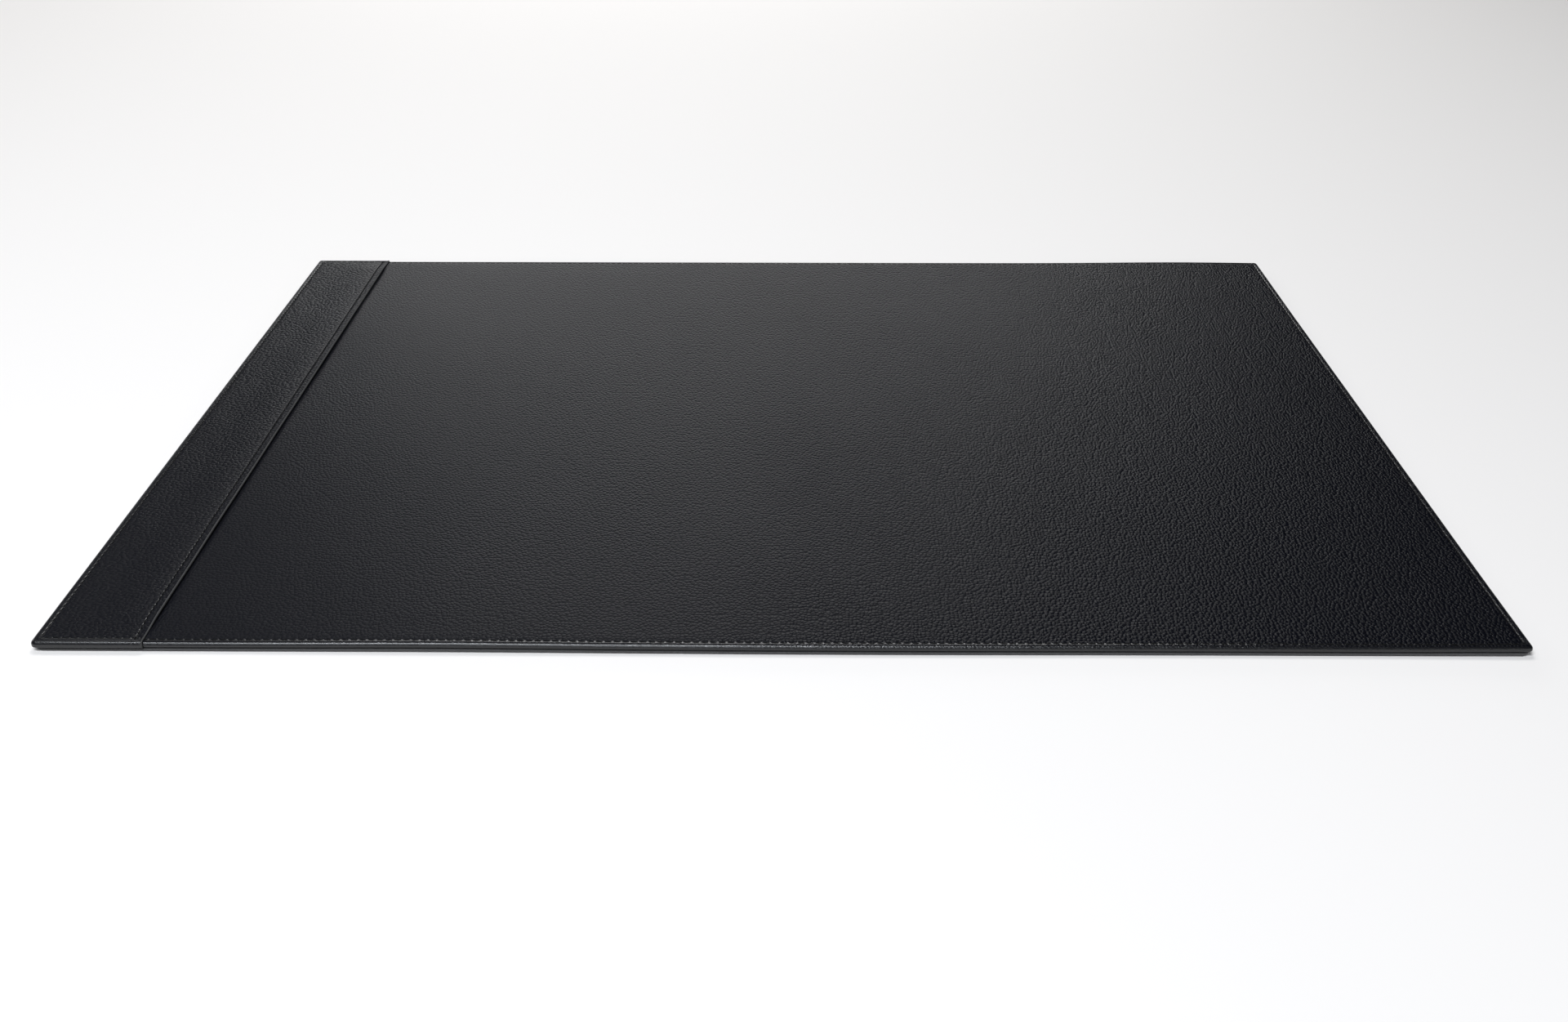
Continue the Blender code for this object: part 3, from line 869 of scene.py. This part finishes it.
def backing_material():
    """Charcoal suede with short fibres."""
    n = Nodes("charcoal_suede")
    place = n.place()
    fibres = n.noise(n.scaled(place, (1.0, 1.0, 1.6)), 1500.0, 5.0, 0.65)
    clumps = n.noise(place, 160.0, 3.0)
    colour = n.mix(n.remap(fibres, 0.32, 0.68, 0.0, 1.0), grey(0.025), grey(0.08, 1.03))
    colour = n.mix(n.remap(clumps, 0.35, 0.65, 0.0, 0.3), colour, grey(0.055))
    height = n.maths("MULTIPLY_ADD", clumps, 0.5, fibres)
    return n.plug(
        Base_Color=colour,
        Roughness=n.remap(fibres, 0.3, 0.7, 0.8, 0.95),
        Normal=n.bump(height, 0.12 * MM),
        Sheen_Weight=0.2,
    )


def board_material(name, dark, light, flake):
    """Pressed fibreboard or card: flecks of fibre in the sheet."""
    n = Nodes(name)
    place = n.place()
    fibres = n.noise(n.scaled(place, (1.0, 2.5, 4.0)), 600.0, 5.0, 0.7)
    flecks = n.voronoi(place, 1 / flake, "F1", flat=False)
    colour = n.mix(n.remap(fibres, 0.3, 0.7, 0.0, 1.0), dark, light)
    colour = n.mix(n.remap(flecks, 0.0, 0.12, 0.5, 0.0), colour, dark)
    roughness = n.remap(fibres, 0.3, 0.7, 0.75, 0.95)
    return n.plug(Base_Color=colour, Roughness=roughness, Normal=n.bump(fibres, 0.05 * MM))


# ---------------------------------------------------------------- studio

def make_camera():
    """A 35 mm lens above the front edge, looking down at the mat."""
    data = bpy.data.cameras.new("camera")
    data.sensor_width, data.lens = SENSOR_WIDTH, LENS
    camera = bpy.data.objects.new("camera", data)
    turn = Matrix.Rotation(math.radians(CAMERA_TURN), 4, "Z")
    tilt = Matrix.Rotation(math.radians(90 - CAMERA_DOWN), 4, "X")
    roll = Matrix.Rotation(math.radians(CAMERA_ROLL), 4, "Z")
    camera.matrix_world = Matrix.Translation(CAMERA_PLACE) @ (turn @ tilt) @ roll
    bpy.context.scene.collection.objects.link(camera)
    bpy.context.scene.camera = camera


def make_softbox(name, place, aim, size, power, colour=WHITE):
    """A rectangular area light at place, facing aim."""
    data = bpy.data.lights.new(name, "AREA")
    data.shape = "RECTANGLE"
    data.size, data.size_y = size
    data.energy, data.color = power, colour
    light = bpy.data.objects.new(name, data)
    light.location = place
    direction = Vector(aim) - light.location
    light.rotation_euler = direction.to_track_quat("-Z", "Y").to_euler()
    light.visible_camera = False
    bpy.context.scene.collection.objects.link(light)


def make_floor():
    """A pale floor. Beyond the lights' reach it glows as pale as the surround, so that the two meet."""
    mesh = bpy.data.meshes.new("floor")
    reach, level = 30.0, -0.05 * MM
    corners = [(x * reach, y * reach, level) for x, y in ((-1, -1), (1, -1), (1, 1), (-1, 1))]
    mesh.from_pydata(corners, [], [(0, 1, 2, 3)])
    floor = bpy.data.objects.new("floor", mesh)
    bpy.context.scene.collection.objects.link(floor)
    n = Nodes("pale_floor")
    distance = n.add("ShaderNodeVectorMath")
    distance.operation = "DISTANCE"
    n.set(distance, "0", n.place())
    n.set(distance, "1", GLOW_CENTRE)
    glow = n.remap(distance.outputs["Value"], GLOW_FROM, GLOW_TO, 0.0, SURROUND)
    n.plug(Base_Color=PALE, Roughness=0.85, Emission_Color=grey(1.0), Emission_Strength=glow)
    n.material.cycles.emission_sampling = "NONE"
    mesh.materials.append(n.material)


def make_studio():
    """A pale floor under soft boxes, in a pale surround that only the camera sees."""
    world = bpy.data.worlds.new("surround")
    world.use_nodes = True
    world.node_tree.nodes["Background"].inputs["Color"].default_value = (*WHITE, 1.0)
    world.node_tree.nodes["Background"].inputs["Strength"].default_value = SURROUND
    bpy.context.scene.world = world
    world.cycles_visibility.diffuse = False
    world.cycles_visibility.glossy = False
    make_floor()
    make_softbox("front_strip", (-0.6, -1.0, 2.2), (-0.6, -1.0, 0.0), (1.6, 0.25), 48, DAYLIGHT)
    make_softbox("front_fill", (-0.5, -2.0, 1.6), (0.0, 0.0, 0.0), (1.5, 0.8), 17, COOL)
    make_softbox("low_right", (2.0, -2.1, 0.8), (0.0, 0.0, 0.0), (1.5, 0.6), 6)
    make_softbox("low_front", (0.2, -2.6, 0.6), (0.0, -0.1, 0.0), (2.2, 0.6), 4)
    make_softbox("back_left", (-1.0, 1.3, 2.2), (-1.0, 1.3, 0.0), (1.0, 1.0), 9)
    make_softbox("back", (0.05, 1.3, 2.2), (0.05, 1.3, 0.0), (1.0, 1.0), 24)
    make_softbox("low_back", (-0.12, 2.4, 0.55), (0.0, 0.1, 0.0), (1.95, 0.6), 12)
    make_softbox("low_left", (-1.6, 2.4, 1.0), (0.0, 0.1, 0.0), (0.8, 0.5), 0.9)
    make_softbox("side_left", (-2.5, 1.3, 1.1), (0.0, 0.0, 0.0), (1.2, 0.6), 4)
    bpy.context.scene.view_settings.view_transform = "Standard"


# ---------------------------------------------------------------- the mat

def make_leathers():
    """The main leather and the panel's leather, each pebbled, with a suede inner side and smooth edges,
    which are painted a lighter black as painted light.
    """
    flesh = flesh_material()
    smooth_cell = (1.4 * MM, 1.4 * MM)
    # The smooth leather's lighter, bluish colour is painted light, for the light that its rolled edges and
    # stitch lips catch.
    smooth = leather_material("smooth_painted_light_leather", smooth_cell, 0.06 * MM, 0.24, 0.6, 0.25, PAINTED_LIGHT_BLACK)
    grain = leather_material("main_leather", (1.8 * MM, 2.05 * MM), 0.31 * MM, 0.41, 0.10, 0.30)
    cover = make_cover([grain, flesh, smooth])
    grain = leather_material("panel_leather", (2.5 * MM, 1.85 * MM), 0.17 * MM, 0.41, 0.12)
    panel = make_panel([grain, flesh, smooth])
    return cover, panel


def make_layers():
    """The backing, the stiff board and the levelling card."""
    backing = make_slab("suede_backing", BACKING, 5 * MM, 0.3 * MM, [backing_material()], line=True)
    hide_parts("backing_sheet")
    pressed = board_material("grey_board", grey(0.12), grey(0.24), 4 * MM)
    board = make_slab("stiff_board", BOARD, 3 * MM, 0.2 * MM, [pressed])
    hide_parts("core_board")
    thin = board_material("pale_card", grey(0.35), grey(0.5), 3 * MM)
    card = make_slab("levelling_card", CARD, 1 * MM, 0.1 * MM, [thin])
    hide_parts("levelling_sheet")
    return backing, board


def main():
    make_camera()
    cover, panel = make_leathers()
    thread = thread_material()
    make_edge_threads(thread)
    make_panel_threads(thread)
    backing, board = make_layers()
    make_studio()


main()
